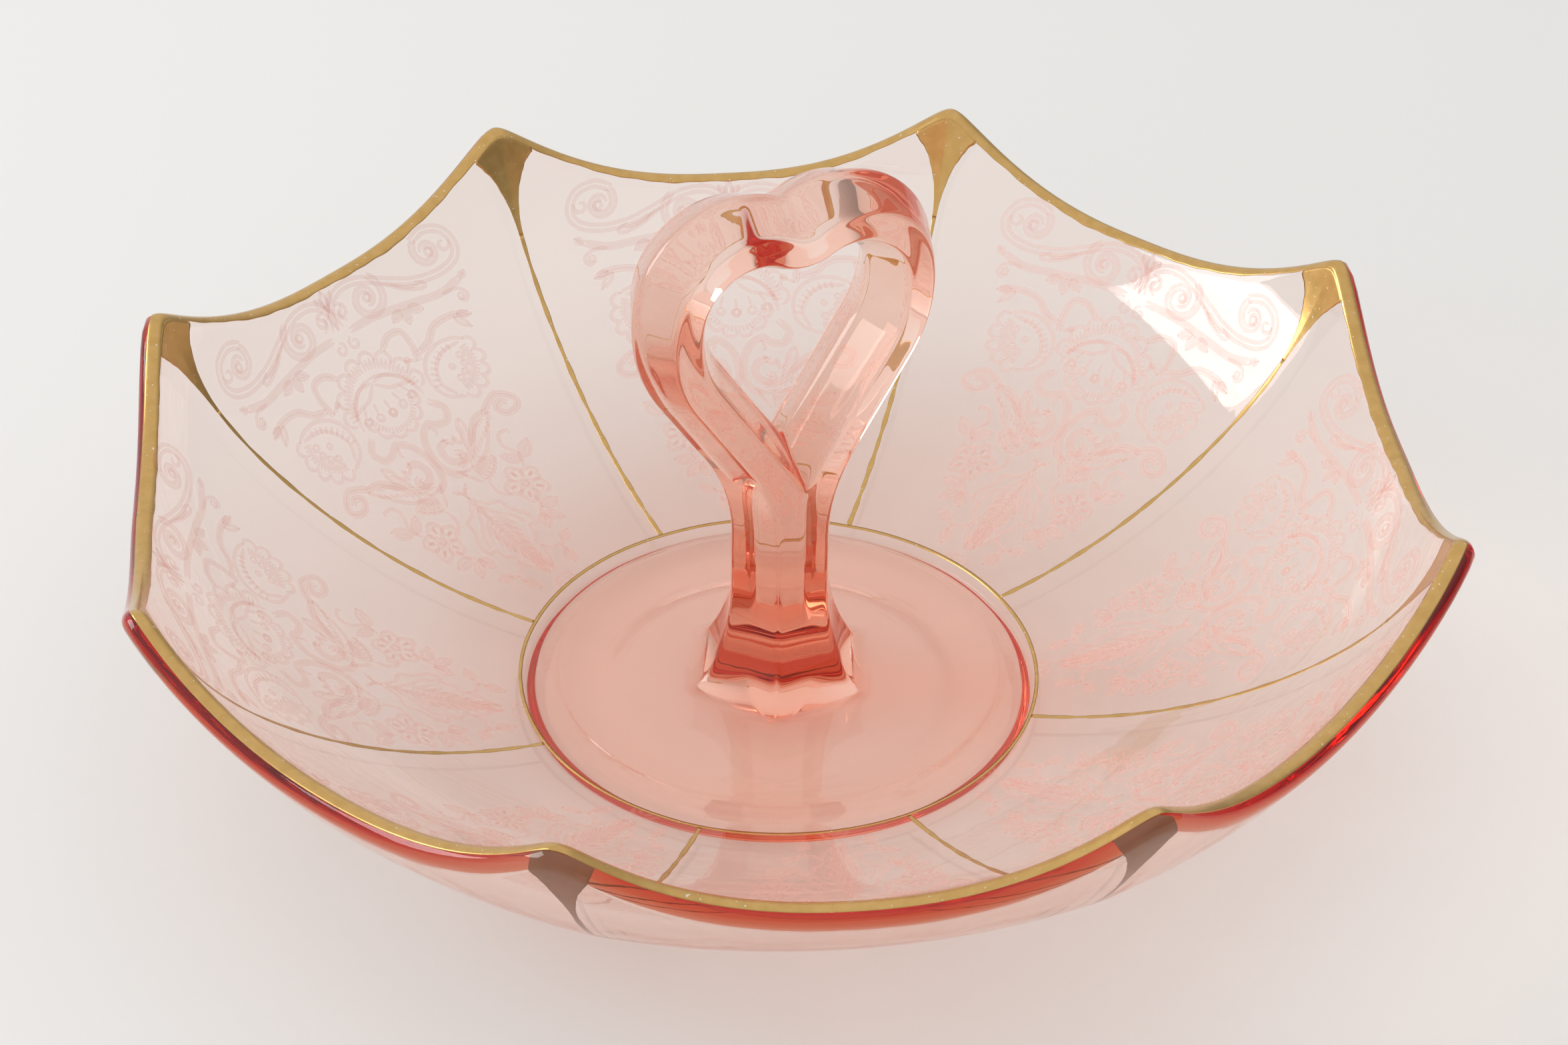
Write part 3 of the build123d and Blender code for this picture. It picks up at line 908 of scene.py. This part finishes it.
def etched_strokes():
    """Every stroke of the design, both halves."""
    drawn = (scroll_border() + finial() + crown_blossom() + side_blossom() + elbow_stalks() + tendril() 
             + acanthus()
             + square_curl() + small_flower() + pointed_leaf() + low_sprigs())
    return drawn + [line * (-1, 1) for line in drawn]


ETCH_TURN, ETCH_SLIP = 2.0, 7.5   # the design sits off each panel's middle, more on one side of the dish
ETCH_LIFT = (0.015, 0.035)          # under and upper face of an etched stroke, above the glass


def panel_surface(across, up, azimuth, lift):
    """Points over a panel's inside face, from flat positions in the design."""
    change = LOWER_BEND * BEND_CHANGE
    slope = np.where(up <= change, up / LOWER_BEND, BEND_CHANGE + (up - change) / UPPER_BEND)
    lower = slope <= BEND_CHANGE
    turn = np.where(lower, 0.0, (LOWER_BEND - UPPER_BEND) * math.sin(BEND_CHANGE))
    bend = np.where(lower, LOWER_BEND, UPPER_BEND) - lift
    reach = FLOOR_REACH + turn + bend * np.sin(slope)
    height = FLOOR + np.where(lower, LOWER_BEND, UPPER_RISE) - bend * np.cos(slope)
    swing = across / reach
    out, side = reach * np.cos(swing) - PANEL_SHIFT, reach * np.sin(swing)
    return np.stack((out * math.cos(azimuth) - side * math.sin(azimuth),
                     out * math.sin(azimuth) + side * math.cos(azimuth), height), axis=-1)


def etched_panel(number, strokes, material):
    """The design on one panel: each stroke is a thin closed strip that narrows at its ends."""
    azimuth = (number - 0.5) * 2 * HALF_TURN
    slip = ETCH_TURN - ETCH_SLIP * math.cos(azimuth)
    points, faces, start = [], [], 0
    for line in strokes:
        length = np.concatenate(([0], np.cumsum(np.linalg.norm(np.diff(line, axis=0), axis=1))))
        ends = np.clip(np.minimum(length, length[-1] - length) / 1.2, 0, 1)
        half = STROKE / 2 * (0.45 + 0.55 * ends)
        sides = [beside(line, half[:, None]), beside(line, -half[:, None])]
        low, high = [[panel_surface(side[:, 0] + slip, side[:, 1], azimuth, lift) for side in sides]
                     for lift in ETCH_LIFT]
        ring = np.stack((low[0], low[1], high[1], high[0]), axis=1)
        count = len(line)
        points.append(ring.reshape(-1, 3))
        faces += grid_faces(count, 4, start)
        last = start + 4 * (count - 1)
        faces += [(start + 3, start + 2, start + 1, start), (last, last + 1, last + 2, last + 3)]
        start += 4 * count
    made = mesh_object(f"etched_flowers_{number}", np.concatenate(points), faces, material, smooth=False)
    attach(made, "root")
    return made


# ---------------------------------------------------------------- surroundings
BRIGHT_SIDE = (-0.55, 0.34, 0.76)   # the room is bright above and behind on the left, darker low on the right
WINDOW_PLACE = (-1.21, 0.742, 0.739)   # metres
CAMERA_PLACE = (-269.1, -487.9, FLOOR + 428.4)
CAMERA_AIM = (24.7, 43.35, FLOOR)
CAMERA_ROLL = math.radians(0.789)
CAMERA_LENS = 84.56
LIGHT_BOUNCES = 16
ROOM_SHADES = ((0.01, 0.36), (0.24, 0.32), (0.40, 0.50), (0.64, 0.97), (0.99, 1.0))


def surroundings():
    floor_mesh = bpy.data.meshes.new("floor")
    half = 3.0
    floor_mesh.from_pydata([(-half, -half, 0), (half, -half, 0), (half, half, 0), (-half, half, 0)], [],
                           [(0, 1, 2, 3)])
    floor_mesh.materials.append(backdrop_material())
    floor = bpy.data.objects.new("floor", floor_mesh)
    bpy.context.scene.collection.objects.link(floor)
    world = bpy.data.worlds.new("studio")
    bpy.context.scene.world = world
    world.use_nodes = True
    nodes, links = world.node_tree.nodes, world.node_tree.links
    place = nodes.new("ShaderNodeTexCoord")
    lean = nodes.new("ShaderNodeVectorMath")
    lean.operation = "DOT_PRODUCT"
    lean.inputs[1].default_value = BRIGHT_SIDE
    spread = nodes.new("ShaderNodeMapRange")
    spread.inputs["From Min"].default_value = -1.0
    room = nodes.new("ShaderNodeValToRGB")
    for position, shade in ROOM_SHADES:
        stop = room.color_ramp.elements.new(position)
        stop.color = (shade, shade * 0.99, shade * 0.975, 1)
    links.new(place.outputs["Generated"], lean.inputs[0])
    links.new(lean.outputs["Value"], spread.inputs["Value"])
    links.new(spread.outputs["Result"], room.inputs["Fac"])
    links.new(room.outputs["Color"], nodes["Background"].inputs["Color"])
    nodes["Background"].inputs["Strength"].default_value = 0.94


def soft_light(name, place, size, power, aim=(0, 0, 0.03)):
    """A square area light that looks at the dish."""
    lamp = bpy.data.lights.new(name, "AREA")
    lamp.shape, lamp.size, lamp.energy = "SQUARE", size, power
    made = bpy.data.objects.new(name, lamp)
    bpy.context.scene.collection.objects.link(made)
    made.location = place
    made.rotation_mode = "QUATERNION"
    made.rotation_quaternion = (Vector(aim) - Vector(place)).to_track_quat("-Z", "Y")


def camera():
    """The photographer's place: in front, to the left and above, with a short telephoto lens."""
    data = bpy.data.cameras.new("camera")
    data.lens, data.sensor_width = CAMERA_LENS, 36.0
    data.clip_start, data.clip_end = 0.01, 20
    made = bpy.data.objects.new("camera", data)
    bpy.context.scene.collection.objects.link(made)
    place, aim = Vector(CAMERA_PLACE) * MM, Vector(CAMERA_AIM) * MM
    look = (aim - place).to_track_quat("-Z", "Y").to_matrix()
    made.location = place
    made.rotation_mode = "QUATERNION"
    made.rotation_quaternion = (look @ Matrix.Rotation(CAMERA_ROLL, 3, "Z")).to_quaternion()
    bpy.context.scene.camera = made


glass = glass_mesh(glass_material())
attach(glass, "root")
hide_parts("bowl", "foot", "centre_disc", "handle_stem", "heart_loop")
gold_films((gold_material(), gold_back_material()))
etching, design = etched_material(), etched_strokes()
for panel in range(1, PANELS + 1):
    etched_panel(panel, design, etching)
surroundings()
soft_light("window", WINDOW_PLACE, 0.8, 10)
camera()
bpy.context.scene.view_settings.view_transform = "Standard"
light_paths = bpy.context.scene.cycles
light_paths.max_bounces = LIGHT_BOUNCES
light_paths.transmission_bounces = LIGHT_BOUNCES
light_paths.glossy_bounces = LIGHT_BOUNCES
light_paths.transparent_max_bounces = 40
